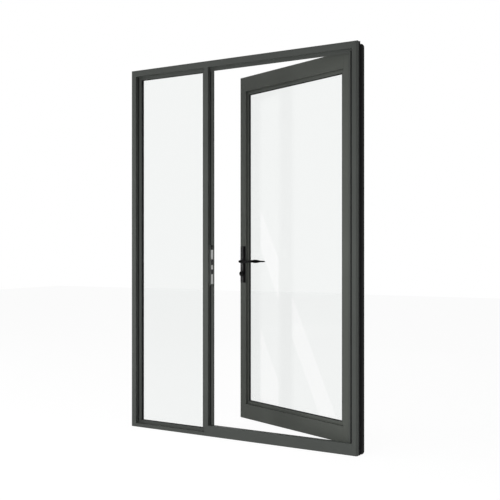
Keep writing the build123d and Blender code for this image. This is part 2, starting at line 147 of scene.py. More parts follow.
class SectionSettings(bpy.types.PropertyGroup):
    edge: bpy.props.FloatProperty(
        name="Profile edge", description="Rounding of the coated profiles", unit="LENGTH",
        min=0.0001, default=0.0007)
    groove_inset: bpy.props.FloatProperty(
        name="Groove inset", description="From the outer edge of a jamb to the groove",
        unit="LENGTH", default=0.033)
    groove_width: bpy.props.FloatProperty(
        name="Groove", description="Width of the groove beside the face",
        unit="LENGTH", default=0.008)
    # Painted shadow: width of the black strip that stands for the hinge jamb's shadow beside its
    # face
    hinge_shadow_width: bpy.props.FloatProperty(
        name="Hinge groove", description="Width of the groove at the hinge jamb", unit="LENGTH",
        default=0.016)
    groove_floor: bpy.props.FloatProperty(
        name="Groove floor", description="From the front of the frame to the groove's floor",
        unit="LENGTH", default=0.029)
    # Height of the black seal in each groove, which also paints the groove's shade
    shade_seal_height: bpy.props.FloatProperty(
        name="Groove seal", description="Height of the seal that lies in the groove", unit="LENGTH",
        default=0.0026)
    seal_side: bpy.props.FloatProperty(
        name="Seal side", description="Room beside the seal in its groove", unit="LENGTH",
        default=0.0014)
    lock_lip: bpy.props.FloatProperty(
        name="Lock lip", description="Reach of the lock stile's face over its glazing bead",
        unit="LENGTH", default=0.006)
    sight_inset: bpy.props.FloatProperty(
        name="Sight line", description="From the outer edge of the frame to the edge of the stop",
        unit="LENGTH", default=0.060)
    stop_rear: bpy.props.FloatProperty(
        name="Stop", description="From the front of the frame to the rear of the stop",
        unit="LENGTH", default=0.032)
    mullion_stop: bpy.props.FloatProperty(
        name="Mullion stop", description="Reach of the stop at both sides of the mullion",
        unit="LENGTH", default=0.024)
    sill_sight: bpy.props.FloatProperty(
        name="Sill sight line", description="Height of the stop along the sill", unit="LENGTH",
        default=0.040)
    seal_radius: bpy.props.FloatProperty(
        name="Stop seal", description="Radius of the round seal behind the stop", unit="LENGTH",
        default=0.0034)
    notch_margin: bpy.props.FloatProperty(
        name="Notch", description="Room in the stop above and below the back plate", unit="LENGTH",
        default=0.006)
    glass_bite: bpy.props.FloatProperty(
        name="Glass bite", description="Reach of the glass behind the stop", unit="LENGTH",
        default=0.011)
    wedge_lip: bpy.props.FloatProperty(
        name="Wedge lip", description="How far the seal of the sidelight shows beside the stop",
        unit="LENGTH", default=0.004)
    leaf_seal: bpy.props.FloatProperty(
        name="Leaf seal", description="Width of the seal before the leaf's glass", unit="LENGTH",
        default=0.019)
    leaf_wedge: bpy.props.FloatProperty(
        name="Leaf wedge", description="Further reach of that seal at the rails", unit="LENGTH",
        default=0.003)
    head_lip: bpy.props.FloatProperty(
        name="Head lip", description="How far the head's outer edge is bevelled back",
        unit="LENGTH", default=0.005)
    pane: bpy.props.FloatProperty(
        name="Pane", description="Thickness of one pane", unit="LENGTH", default=0.005)
    spacer: bpy.props.FloatProperty(
        name="Spacer", description="Width of the spacer between two panes", unit="LENGTH",
        default=0.010)
    spacer_shift: bpy.props.FloatProperty(
        name="Spacer shift",
        description="How far the sidelight's spacer sits in from the left edge",
        unit="LENGTH", default=0.0045)


class LockSettings(bpy.types.PropertyGroup):
    spindle_height: bpy.props.FloatProperty(
        name="Spindle height", description="Lever spindle above the floor", unit="LENGTH",
        default=1.067)
    cylinder_drop: bpy.props.FloatProperty(
        name="Cylinder drop", description="From the spindle down to the cylinder", unit="LENGTH",
        default=0.080)
    plate_width: bpy.props.FloatProperty(
        name="Plate width", description="Width of a back plate", unit="LENGTH", default=0.030)
    plate_shift: bpy.props.FloatProperty(
        name="Plate shift", description="How far the near plate sits toward the hinges",
        unit="LENGTH", default=0.0018)
    foot_shift: bpy.props.FloatProperty(
        name="Foot shift", description="How far the near plate's foot sits toward the hinges",
        unit="LENGTH", default=0.006)
    near_plate: bpy.props.FloatProperty(
        name="Near plate", description="Thickness of the near back plate", unit="LENGTH",
        default=0.012)
    far_plate: bpy.props.FloatProperty(
        name="Far plate", description="Thickness of the far back plate",
        unit="LENGTH", default=0.003)
    plate_corner: bpy.props.FloatProperty(
        name="Plate corner", description="Corner radius of a back plate",
        unit="LENGTH", default=0.004)
    rose_radius: bpy.props.FloatProperty(
        name="Rose", description="Radius of the rose round the cylinder", unit="LENGTH",
        default=0.019)
    near_rose: bpy.props.FloatProperty(
        name="Near rose", description="How far the near rose stands off its plate", unit="LENGTH",
        default=0.009)
    far_rose: bpy.props.FloatProperty(
        name="Far rose", description="How far the far rose stands off its plate", unit="LENGTH",
        default=0.002)
    collar_radius: bpy.props.FloatProperty(
        name="Collar", description="Radius of the collar round the lever's neck", unit="LENGTH",
        default=0.013)
    screw_radius: bpy.props.FloatProperty(
        name="Screw", description="Radius of a screw head", unit="LENGTH", default=0.0038)
    neck_radius: bpy.props.FloatProperty(
        name="Neck", description="Radius of the lever's neck", unit="LENGTH", default=0.0085)
    far_trim: bpy.props.FloatProperty(
        name="Far trim", description="How much less the far lever stands out than its box",
        unit="LENGTH", default=0.006)
    near_rise: bpy.props.FloatProperty(
        name="Near rise", description="How much more the near lever stands out than its box",
        unit="LENGTH", default=-0.003)
    droop: bpy.props.FloatProperty(
        name="Droop", description="How far the lever sits below the middle of its box",
        unit="LENGTH", default=0.0009)
    grip_trim: bpy.props.FloatProperty(
        name="Grip trim", description="How much shorter the grips are than their boxes",
        unit="LENGTH", default=0.007)
    bend: bpy.props.FloatProperty(
        name="Bend", description="Radius of the bend from neck to grip", unit="LENGTH",
        default=0.0092)
    grip_root: bpy.props.FloatVectorProperty(
        name="Grip root", description="Thickness and height of the grip at the bend",
        unit="LENGTH", size=2, default=(0.012, 0.0225))
    grip_tip: bpy.props.FloatVectorProperty(
        name="Grip tip", description="Thickness and height of the grip at its tip", unit="LENGTH",
        size=2, default=(0.008, 0.0085))
    cap_height: bpy.props.FloatProperty(
        name="Hinge cap", description="Height of the cap on a hinge barrel", unit="LENGTH",
        default=0.004)
    knuckle_radius: bpy.props.FloatProperty(
        name="Knuckle", description="Radius of the hinge barrels", unit="LENGTH", default=0.007)


class StageSettings(bpy.types.PropertyGroup):
    camera_place: bpy.props.FloatVectorProperty(
        name="Camera place", description="Where the camera stands", subtype="TRANSLATION",
        unit="LENGTH", size=3, default=(2.0757, -3.8824, 1.1405))
    camera_turn: bpy.props.FloatProperty(
        name="Camera turn", description="Turn of the camera about the vertical", subtype="ANGLE",
        unit="ROTATION", default=math.radians(27.266))
    lens: bpy.props.FloatProperty(
        name="Lens", description="Focal length in millimetres on a 36 mm sensor",
        min=1.0, default=52.34)
    key_power: bpy.props.FloatProperty(
        name="Key light", description="Power of the wide light before the door",
        min=0.0, default=33.0)
    side_power: bpy.props.FloatProperty(
        name="Side light", description="Power of the light at the left", min=0.0, default=130.0)
    fill_power: bpy.props.FloatProperty(
        name="Fill light", description="Power of the light behind the door", min=0.0, default=5.0)
    sky: bpy.props.FloatProperty(
        name="Room light", description="Strength of the even light all round",
        min=0.0, default=0.20)


# Shader helpers

def new_material(name):
    """A fresh material of this name; a plain one that came with the frame steps aside."""
    plain = bpy.data.materials.get(name)
    if plain:
        plain.name = name + "_plain"
    material = bpy.data.materials.new(name)
    material.use_nodes = True
    nodes = material.node_tree.nodes
    return material, nodes, material.node_tree.links, nodes["Principled BSDF"]


def object_noise(nodes, links, scale, detail=3.0, stretch=None):
    """A noise that keeps its size in metres on the object."""
    coordinate = nodes.new("ShaderNodeTexCoord")
    noise = nodes.new("ShaderNodeTexNoise")
    noise.inputs["Scale"].default_value = scale
    noise.inputs["Detail"].default_value = detail
    if stretch:
        mapping = nodes.new("ShaderNodeMapping")
        mapping.inputs["Scale"].default_value = stretch
        links.new(coordinate.outputs["Object"], mapping.inputs["Vector"])
        links.new(mapping.outputs["Vector"], noise.inputs["Vector"])
    else:
        links.new(coordinate.outputs["Object"], noise.inputs["Vector"])
    return noise


def ramp(nodes, links, source, low, high, first, last):
    node = nodes.new("ShaderNodeValToRGB")
    node.color_ramp.elements[0].position = low
    node.color_ramp.elements[1].position = high
    node.color_ramp.elements[0].color = (*first, 1.0)
    node.color_ramp.elements[1].color = (*last, 1.0)
    links.new(source, node.inputs["Fac"])
    return node


def shade(colour, factor):
    """A darker or lighter tone of a colour."""
    return tuple(min(1.0, c * factor) for c in colour)


def grey_range(nodes, links, source, low, high):
    node = nodes.new("ShaderNodeMapRange")
    node.inputs["To Min"].default_value = low
    node.inputs["To Max"].default_value = high
    links.new(source, node.inputs["Value"])
    return node


def relief(nodes, links, shader, height, strength, depth):
    """Lets a noise stand out of the surface a little."""
    bump = nodes.new("ShaderNodeBump")
    bump.inputs["Strength"].default_value = strength
    bump.inputs["Distance"].default_value = depth
    links.new(height, bump.inputs["Height"])
    links.new(bump.outputs["Normal"], shader.inputs["Normal"])


def math_node(nodes, links, operation, *values):
    """One Math node; each value is a socket or a fixed number."""
    node = nodes.new("ShaderNodeMath")
    node.operation = operation
    for socket, value in zip(node.inputs, values):
        if isinstance(value, float):
            socket.default_value = value
        else:
            links.new(value, socket)
    return node.outputs["Value"]


def mix_shaders(nodes, links, share, first, second, target):
    """Sends two shaders, mixed by a share, to a socket."""
    mix = nodes.new("ShaderNodeMixShader")
    links.new(share, mix.inputs["Fac"])
    links.new(first, mix.inputs[1])
    links.new(second, mix.inputs[2])
    links.new(mix.outputs["Shader"], target)


def coated_metal(name, colour, roughness, grain=900.0, shine=0.25):
    """Powder coat: fine grain in the surface, soft drifts of colour and gloss."""
    material, nodes, links, shader = new_material(name)
    drift = object_noise(nodes, links, 2.3, 2.0)
    tone = ramp(nodes, links, drift.outputs["Fac"], 0.35, 0.65,
                shade(colour, 0.94), shade(colour, 1.06))
    links.new(tone.outputs["Color"], shader.inputs["Base Color"])
    fine = object_noise(nodes, links, grain, 2.0)
    gloss = grey_range(nodes, links, drift.outputs["Fac"], roughness - 0.05, roughness + 0.05)
    links.new(gloss.outputs["Result"], shader.inputs["Roughness"])
    relief(nodes, links, shader, fine.outputs["Fac"], 0.04, 0.0004)
    shader.inputs["Specular IOR Level"].default_value = shine
    return material


def rubber(name, colour):
    """Dull rubber with a fine, uneven grain."""
    material, nodes, links, shader = new_material(name)
    fine = object_noise(nodes, links, 420.0, 4.0)
    tone = ramp(nodes, links, fine.outputs["Fac"], 0.3, 0.7,
                shade(colour, 0.75), shade(colour, 1.35))
    links.new(tone.outputs["Color"], shader.inputs["Base Color"])
    shader.inputs["Specular IOR Level"].default_value = 0.15
    gloss = grey_range(nodes, links, fine.outputs["Fac"], 0.62, 0.8)
    links.new(gloss.outputs["Result"], shader.inputs["Roughness"])
    relief(nodes, links, shader, fine.outputs["Fac"], 0.08, 0.0005)
    return material


def brushed_steel(name, colour, roughness, stretch):
    """Steel with fine lines along the direction that the noise is stretched in."""
    material, nodes, links, shader = new_material(name)
    lines = object_noise(nodes, links, 60.0, 5.0, stretch)
    tone = ramp(nodes, links, lines.outputs["Fac"], 0.3, 0.7,
                shade(colour, 0.86), shade(colour, 1.1))
    links.new(tone.outputs["Color"], shader.inputs["Base Color"])
    gloss = grey_range(nodes, links, lines.outputs["Fac"], roughness - 0.07, roughness + 0.1)
    links.new(gloss.outputs["Result"], shader.inputs["Roughness"])
    relief(nodes, links, shader, lines.outputs["Fac"], 0.06, 0.0002)
    shader.inputs["Metallic"].default_value = 1.0
    return material


def clear_glass(name, colour, glint_share=0.0):
    """Glass with a faint film and little reflection, which lets lamps shine through it."""
    material, nodes, links, shader = new_material(name)
    shader.inputs["Transmission Weight"].default_value = 1.0
    shader.inputs["IOR"].default_value = 1.5
    shader.inputs["Specular Tint"].default_value = (0.06, 0.06, 0.06, 1.0)
    film = object_noise(nodes, links, 5.0, 3.0)
    gloss = grey_range(nodes, links, film.outputs["Fac"], 0.0, 0.012)
    links.new(gloss.outputs["Result"], shader.inputs["Roughness"])
    clear = nodes.new("ShaderNodeBsdfTransparent")
    clear.inputs["Color"].default_value = (*shade(colour, 0.98), 1.0)
    # On the leaf's glass, bands of painted reflection lighten the panes' colour
    if glint_share:
        links.new(painted_glint_tone(nodes, links, colour, glint_share), shader.inputs["Base Color"])
    else:
        shader.inputs["Base Color"].default_value = (*colour, 1.0)
    path = nodes.new("ShaderNodeLightPath")
    mix_shaders(nodes, links, path.outputs["Is Shadow Ray"], shader.outputs["BSDF"],
                clear.outputs["BSDF"], nodes["Material Output"].inputs["Surface"])
    return material


def stepped(nodes, links, source, first, stops):
    """A grey ramp that flips between black and white at each stop, with soft ends."""
    node = nodes.new("ShaderNodeValToRGB")
    links.new(source, node.inputs["Fac"])
    elements = node.color_ramp.elements
    elements[0].position, elements[0].color = 0.0, (first, first, first, 1.0)
    elements[1].position, elements[1].color = 1.0, (1.0 - first, 1.0 - first, 1.0 - first, 1.0)
    level = first
    for stop, soft in stops:
        for position in (stop - soft, stop + soft):
            elements.new(position).color = (level, level, level, 1.0)
            level = 1.0 - level if position < stop else level
    elements[len(elements) - 1].color = (level, level, level, 1.0)
    return node.outputs["Color"]


def painted_glint_tone(nodes, links, colour, amount):
    """Painted reflection: two slanting bands of light painted into the colour of two upright strips
    of the pane.
    """
    place = nodes.new("ShaderNodeTexCoord")
    parts = nodes.new("ShaderNodeSeparateXYZ")
    links.new(place.outputs["Object"], parts.inputs["Vector"])
    slant = math_node(nodes, links, "MULTIPLY_ADD", parts.outputs["X"], GLINT_SLANT,
                      parts.outputs["Z"])
    height = math_node(nodes, links, "DIVIDE", slant, GLINT_HEIGHT)
    band = stepped(nodes, links, height, 1.0, GLINT_BANDS)
    strip = stepped(nodes, links, parts.outputs["X"], 0.0, GLINT_STRIPS)
    both = math_node(nodes, links, "MULTIPLY", band, strip)
    tone = ramp(nodes, links, both, 0.0, 1.0, colour,
                tuple(c + (1.0 - c) * amount for c in colour))
    return tone.outputs["Color"]


def seen_rays(nodes, links):
    """One for rays that come from the camera, through glass or off a gloss, nought for the rest."""
    path = nodes.new("ShaderNodeLightPath")
    total = path.outputs["Is Camera Ray"]
    for name in ("Is Transmission Ray", "Is Glossy Ray"):
        total = math_node(nodes, links, "MAXIMUM", total, path.outputs[name])
    return total


def floor_material(name):
    """White ground that keeps a soft shadow."""
    material, nodes, links, shader = new_material(name)
    shader.inputs["Base Color"].default_value = (0.86, 0.86, 0.86, 1.0)
    shader.inputs["Roughness"].default_value = 0.9
    shader.inputs["Specular IOR Level"].default_value = 0.1
    glow = nodes.new("ShaderNodeEmission")
    glow.inputs["Color"].default_value = (0.93, 0.93, 0.93, 1.0)
    glow.inputs["Strength"].default_value = 1.0
    dull = nodes.new("ShaderNodeBsdfDiffuse")
    dull.inputs["Color"].default_value = (0.17, 0.17, 0.17, 1.0)
    shown = nodes.new("ShaderNodeAddShader")
    links.new(glow.outputs["Emission"], shown.inputs[0])
    links.new(dull.outputs["BSDF"], shown.inputs[1])
    mix_shaders(nodes, links, seen_rays(nodes, links), shader.outputs["BSDF"],
                shown.outputs["Shader"], nodes["Material Output"].inputs["Surface"])
    return material


# Shapes

def give(node, material):
    """Puts a material on a node of the frame."""
    mesh = NODES[node].data
    mesh.materials.clear()
    mesh.materials.append(material)


def body_of(node):
    """The body that a node belongs to."""
    return next(name for name, nodes in BODIES.items() if node in nodes)


def shut_box(node):
    """Lowest and highest corner of a leaf node with the leaf shut."""
    back = AJAR.inverted()
    points = [back @ vertex.co for vertex in NODES[node].data.vertices]
    return [Vector([pick(point[i] for point in points) for i in range(3)]) for pick in (min, max)]


def add_piece(shape, name, body, slot, replaced=(), place=None, material=None):
    """Makes a finished shape a piece that rides on a body."""
    if place is not None:
        shape.transform(place)
    bmesh.ops.recalc_face_normals(shape, faces=shape.faces[:])
    mesh = bpy.data.meshes.new(name)
    shape.to_mesh(mesh)
    shape.free()
    mesh.materials.append(bpy.data.materials[material or slot])
    piece = bpy.data.objects.new(name, mesh)
    bpy.context.scene.collection.objects.link(piece)
    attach(piece, body)
    if replaced:
        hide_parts(*replaced)
    return piece


def round_edges(shape, edges, width, segments=2):
    bmesh.ops.bevel(shape, geom=edges, offset=width, offset_type="OFFSET", segments=segments,
                    profile=0.5, affect="EDGES", clamp_overlap=True, material=-1)


def at_depth(items, y):
    """The edges or faces whose corners all lie at one depth."""
    return [item for item in items if all(abs(v.co.y - y) < SAME for v in item.verts)]


def verts_of(items):
    return [item for item in items if isinstance(item, bmesh.types.BMVert)]


def edges_of(items):
    return [item for item in items if isinstance(item, bmesh.types.BMEdge)]


def sharp_edges(shape, angle=25.0):
    return [edge for edge in shape.edges
            if edge.is_manifold and edge.calc_face_angle() > math.radians(angle)]


def block(shape, low, high):
    """A block between two corners, and its vertices."""
    low, high = Vector(low), Vector(high)
    matrix = Matrix.Translation((low + high) / 2) @ Matrix.Diagonal((*(high - low), 1.0))
    return bmesh.ops.create_cube(shape, size=1.0, matrix=matrix)["verts"]


def join(shape, other):
    """Adds another shape to this one."""
    mesh = bpy.data.meshes.new("join")
    other.to_mesh(mesh)
    other.free()
    shape.from_mesh(mesh)
    bpy.data.meshes.remove(mesh)


def soft_block(low, high, width, segments=2):
    shape = bmesh.new()
    block(shape, low, high)
    round_edges(shape, shape.edges[:], width, segments)
    return shape


def ring(low, high, width):
    """A rectangular ring upright in the plane of the glass."""
    shape = bmesh.new()
    size = high - low
    middle = (low + high) / 2
    matrix = (Matrix.Translation((middle.x, low.y, middle.z)) @ Matrix.Rotation(math.pi / 2, 4, "X")
              @ Matrix.Diagonal((size.x, size.z, 1.0, 1.0)))
    bmesh.ops.create_grid(shape, x_segments=1, y_segments=1, size=0.5, matrix=matrix)
    inner = shape.faces[:]
    bmesh.ops.inset_individual(shape, faces=inner, thickness=width, use_even_offset=True)
    bmesh.ops.delete(shape, geom=inner, context="FACES_ONLY")
    grown = bmesh.ops.extrude_face_region(shape, geom=shape.faces[:], use_keep_orig=True)
    bmesh.ops.translate(shape, verts=verts_of(grown["geom"]), vec=(0.0, size.y, 0.0))
    return shape


def stud(x, y, z, radius, top, height, out, rim, segments=32):
    """A turned disc that stands off a face along Y, with a rounded rim."""
    shape = bmesh.new()
    turn = Matrix.Rotation(math.pi / 2 * (1 if out < 0 else -1), 4, "X")
    place = Matrix.Translation((x, y + out * height / 2, z)) @ turn
    bmesh.ops.create_cone(shape, cap_ends=True, segments=segments, radius1=radius, radius2=top,
                          depth=height, matrix=place)
    round_edges(shape, at_depth(shape.edges, y + out * height), rim, 3)
    for face in shape.faces:
        face.smooth = len(face.verts) == 4
    return shape


def screw(x, y, z, radius, out):
    """A countersunk head with a round socket."""
    height = radius * 0.25
    shape = stud(x, y, z, radius, radius * 0.92, height, out, radius * 0.08, 24)
    cap = at_depth(shape.faces, y + out * height)
    bmesh.ops.inset_region(shape, faces=cap, thickness=radius * 0.45, depth=0.0)
    bmesh.ops.inset_region(shape, faces=cap, thickness=radius * 0.04, depth=-radius * 0.35)
    return shape


def softened(node, width, bevel_back=0.0):
    """A copy of a node's mesh, seams merged, edges rounded, its top front edge set back."""
    shape = bmesh.new()
    shape.from_mesh(NODES[node].data)
    if bevel_back:
        low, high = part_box(node)
        edge = [v for v in shape.verts
                if v.co.z > high.z - 10 * SAME and v.co.y < low.y + bevel_back / 2]
        bmesh.ops.translate(shape, verts=edge, vec=(0.0, bevel_back, 0.0))
    bmesh.ops.remove_doubles(shape, verts=shape.verts[:], dist=SAME)
    bmesh.ops.dissolve_limit(shape, angle_limit=math.radians(1.0), verts=shape.verts[:],
                             edges=shape.edges[:])
    round_edges(shape, sharp_edges(shape), width)
    return shape


# Operators

class DOORSET_OT_stage(bpy.types.Operator):
    """Camera, lights, white room and floor"""
    bl_idname = "doorset.stage"
    bl_label = "Stage"

    def execute(self, context):
        scene = context.scene
        setting = scene.doorset_stage
        scene.view_settings.view_transform = "Standard"
        camera = bpy.data.cameras.new("camera")
        camera.lens = setting.lens
        camera.sensor_width = 36.0
        holder = bpy.data.objects.new("camera", camera)
        holder.location = setting.camera_place
        holder.rotation_euler = (math.pi / 2, 0.0, setting.camera_turn)
        scene.collection.objects.link(holder)
        scene.camera = holder
        for name, power in (("key", setting.key_power), ("side", setting.side_power),
                            ("fill", setting.fill_power)):
            self.lamp(scene, name, power, *LAMPS[name])
        self.room(scene, setting.sky)
        self.floor()
        return {"FINISHED"}

    def lamp(self, scene, name, power, size, place, target):
        data = bpy.data.lights.new(name, "AREA")
        data.energy = power
        data.shape = "RECTANGLE"
        data.size, data.size_y = size
        lamp = bpy.data.objects.new(name, data)
        lamp.location = place
        lamp.rotation_euler = (Vector(target) - Vector(place)).to_track_quat("-Z", "Y").to_euler()
        lamp.visible_camera = lamp.visible_glossy = lamp.visible_transmission = False
        scene.collection.objects.link(lamp)

    def room(self, scene, strength):
        world = bpy.data.worlds.new("room")
        scene.world = world
        world.use_nodes = True
        nodes, links = world.node_tree.nodes, world.node_tree.links
        plain = nodes["Background"]
        plain.inputs["Color"].default_value = (1.0, 1.0, 1.0, 1.0)
        plain.inputs["Strength"].default_value = strength
        white = nodes.new("ShaderNodeBackground")
        white.inputs["Color"].default_value = (1.0, 1.0, 1.0, 1.0)
        white.inputs["Strength"].default_value = 1.0
        mix_shaders(nodes, links, seen_rays(nodes, links), plain.outputs["Background"],
                    white.outputs["Background"], nodes["World Output"].inputs["Surface"])

    def floor(self):
        mesh = bpy.data.meshes.new("floor")
        shape = bmesh.new()
        bmesh.ops.create_grid(shape, x_segments=1, y_segments=1, size=14.0)
        shape.to_mesh(mesh)
        shape.free()
        ground = bpy.data.objects.new("floor", mesh)
        bpy.context.scene.collection.objects.link(ground)
        mesh.materials.append(floor_material("white_floor"))


class DOORSET_OT_finishes(bpy.types.Operator):
    """Powder coat, rubber, steel and glass on every node of the door set"""
    bl_idname = "doorset.finishes"
    bl_label = "Finishes"

    def execute(self, context):
        setting = context.scene.doorset_finish
        black = tuple(setting.black_colour)
        steel = tuple(setting.steel_colour)
        rough = setting.coat_roughness
        coated_metal("frame_paint", tuple(setting.frame_colour), rough)
        # The leaf's lighter coat is painted light
        coated_metal("leaf_paint", tuple(setting.leaf_lit_colour), rough)
        coated_metal("core_plastic", shade(black, 1.2), 0.6, 500.0)
        coated_metal("anchor_metal", shade(black, 1.25), 0.55)
        rubber("seal_rubber", tuple(setting.rubber_colour))
        rubber("gasket_rubber", tuple(setting.rubber_colour))
        clear_glass("clear_glass", tuple(setting.glass_colour))
        # The leaf's glass carries the bands of painted reflection
        clear_glass("clear_glass_leaf", tuple(setting.glass_colour), GLINT_LIGHT)
        coated_metal("hinge_metal", shade(black, 1.3), 0.4)
        coated_metal("handle_black", shade(black, 0.7), 0.5, 900.0, 0.15)
        # The plates' black made lighter: painted light on the fronts of the back plates
        coated_metal("plate_face_painted_light", shade(black, 3.6), 0.45)
        coated_metal("cylinder_black", shade(black, 0.4), 0.5, 900.0, 0.1)
        coated_metal("lever_black", shade(black, 0.35), 0.5, 900.0, 0.12)
        brushed_steel("lock_steel", steel, 0.33, (1.0, 1.0, 0.04))
        for node, slot in SLOTS.items():
            give(node, bpy.data.materials[slot])
        return {"FINISHED"}


class DOORSET_OT_profiles(bpy.types.Operator):
    """Frame, leaf and anchor profiles with softly rounded edges"""
    bl_idname = "doorset.profiles"
    bl_label = "Profiles"

    def execute(self, context):
        setting = context.scene.doorset_section
        for node, slot in SLOTS.items():
            if slot in ("frame_paint", "leaf_paint", "anchor_metal"):
                back = setting.head_lip if node == "head_front_shell" else 0.0
                shape = softened(node, setting.edge, back)
                if node == "leaf_lock_stile":
                    join(shape, self.lip(setting))
                add_piece(shape, node + "_profile", body_of(node), slot, [node])
        return {"FINISHED"}

    def lip(self, setting):
        """The lock stile's face reaches a little over the bead beside it."""
        low, high = shut_box("leaf_bead_left")
        front = shut_box("leaf_lock_stile")[0].y
        shape = soft_block((low.x - LIP_BED, front - PLAY, low.z),
                           (low.x + setting.lock_lip, low.y, high.z), setting.edge)
        shape.transform(AJAR)
        return shape


class DOORSET_OT_glazing(bpy.types.Operator):
    """Two sealed units, each with two panes and a dark spacer"""
    bl_idname = "doorset.glazing"
    bl_label = "Glazing"

    def execute(self, context):
        setting = context.scene.doorset_section
        self.unit(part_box("sidelight_glass"), "sidelight", "frame", "clear_glass", None, setting)
        self.unit(shut_box("leaf_glass"), "leaf", "leaf", "clear_glass_leaf", AJAR, setting)
        return {"FINISHED"}

    def unit(self, box, name, body, glass, place, setting):
        low, high = box
        panes = bmesh.new()
        for y in (low.y, high.y - setting.pane):
            join(panes, soft_block((low.x, y, low.z), (high.x, y + setting.pane, high.z),
                                   PANE_EDGE, 1))
        add_piece(panes, name + "_panes", body, "clear_glass", [name + "_glass"], place, glass)
        gap = setting.pane + SPACER_PLAY
        inward = setting.spacer_shift if name == "sidelight" else 0.0
        bar = ring(Vector((low.x + inward, low.y + gap, low.z)),
                   Vector((high.x, high.y - gap, high.z)), setting.spacer)
        round_edges(bar, sharp_edges(bar), SPACER_EDGE)
        add_piece(bar, name + "_spacer", body, "core_plastic", (), place)


class DOORSET_OT_seals(bpy.types.Operator):
    """Flat black seals in the grooves beside the faces, which also paint the shade in the grooves,
    a wider black strip at the hinge jamb as painted shadow, and round seals behind the stop
    """
    bl_idname = "doorset.seals"
    bl_label = "Seals"

    def execute(self, context):
        setting = context.scene.doorset_section
        low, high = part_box("left_jamb_front_shell")[0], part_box("right_jamb_front_shell")[1]
        self.front = low.y
        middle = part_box("mullion_front_shell")
        left_edge = middle[0].x + setting.mullion_stop
        right_edge = middle[1].x - setting.mullion_stop
        top = high.z - setting.sight_inset
        mitre = high.z - setting.groove_inset - setting.groove_width
        sill = setting.sill_sight
        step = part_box("door_threshold")[1].z
        plate = shut_box("near_back_plate")
        notch = (plate[0].z - setting.notch_margin, plate[1].z + setting.notch_margin)
        width = setting.groove_width
        x = low.x + setting.groove_inset
        wide = setting.seal_side - PLAY
        # Black seals in the grooves, which also paint the shade in them
        self.strip("left_jamb_seal", x - wide, x + width + wide, [(sill, mitre)], setting)
        self.strip("mullion_side_seal", left_edge - width, left_edge, [(sill, top)], setting)
        self.strip("mullion_door_seal", right_edge, right_edge + width,
                   [(step, notch[0]), (notch[1], top)], setting)
        # Painted shadow: a wide black strip in the hinge jamb's groove, where the jamb's face casts
        # its shadow
        x = high.x - setting.groove_inset
        mitre = high.z - setting.groove_inset - setting.hinge_shadow_width
        self.strip("hinge_jamb_seal", x - setting.hinge_shadow_width, x, [(step, mitre)], setting)
        self.stop_seal(middle[1].x, high.x - setting.sight_inset, step, top, notch, setting)
        self.wedges(setting)
        return {"FINISHED"}

    def wedges(self, setting):
        """Soft lips that close the joint between the glass and the stop or bead before it."""
        low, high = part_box("sidelight_glass")
        bite, lip = setting.glass_bite, setting.wedge_lip
        self.wedge("sidelight_wedge_seal", "frame", Vector((low.x, low.y - WEDGE_HEIGHT, low.z)),
                   Vector((high.x + lip * WEDGE_HIDDEN, low.y, high.z)), bite + lip, None)
        low, high = shut_box("leaf_gasket")
        glass = shut_box("leaf_glass")[0].y
        rise = Vector((0.0, 0.0, setting.leaf_wedge))
        self.wedge("leaf_wedge_seal", "leaf", Vector((low.x, glass - WEDGE_HEIGHT, low.z)) + rise,
                   Vector((high.x, glass, high.z)) - rise, setting.leaf_seal, AJAR)

    def wedge(self, name, body, low, high, width, place):
        shape = ring(low, high, width)
        round_edges(shape, at_depth(sharp_edges(shape), low.y), WEDGE_EDGE, 3)
        add_piece(shape, name, body, "gasket_rubber", (), place)

    def strip(self, name, x0, x1, spans, setting):
        shape = bmesh.new()
        side = setting.seal_side
        floor = self.front + setting.groove_floor
        for z0, z1 in spans:
            bar = bmesh.new()
            block(bar, (x0 + side, floor - setting.shade_seal_height, z0 + PLAY),
                  (x1 - side, floor, z1 - PLAY))
            lips = [e for e in bar.edges if all(v.co.y < floor - PLAY for v in e.verts)]
            round_edges(bar, lips, setting.shade_seal_height * 0.6, 4)
            join(shape, bar)
        add_piece(shape, name, "frame", "seal_rubber")

    def stop_seal(self, left, right, step, top, notch, setting):
        radius = setting.seal_radius
        y = self.front + setting.stop_rear
        shape = bmesh.new()
        for x, spans in ((left - 2 * radius, [(step, notch[0]), (notch[1], top + radius)]),
                         (right + 2 * radius, [(step, top + radius)])):
            for z0, z1 in spans:
                join(shape, self.bulb(radius, z1 - z0, Matrix.Translation((x, y, z0))))
        lay = Matrix.Rotation(math.pi / 2, 4, "Y")
        place = Matrix.Translation((left - 3 * radius, y, top + 2 * radius)) @ lay
        join(shape, self.bulb(radius, right - left + 6 * radius, place))
        add_piece(shape, "stop_seal", "frame", "seal_rubber")

    def bulb(self, radius, length, place):
        """A half-round bar along Z that bulges to the leaf."""
        shape = bmesh.new()
        bmesh.ops.create_circle(shape, cap_ends=True, segments=16, radius=radius)
        bmesh.ops.bisect_plane(shape, geom=shape.verts[:] + shape.edges[:] + shape.faces[:],
                               plane_co=(0, 0, 0), plane_no=(0, -1, 0), clear_outer=True)
        grown = bmesh.ops.extrude_face_region(shape, geom=shape.faces[:], use_keep_orig=True)
        bmesh.ops.translate(shape, verts=verts_of(grown["geom"]), vec=(0.0, 0.0, length))
        shape.transform(place)
        return shape


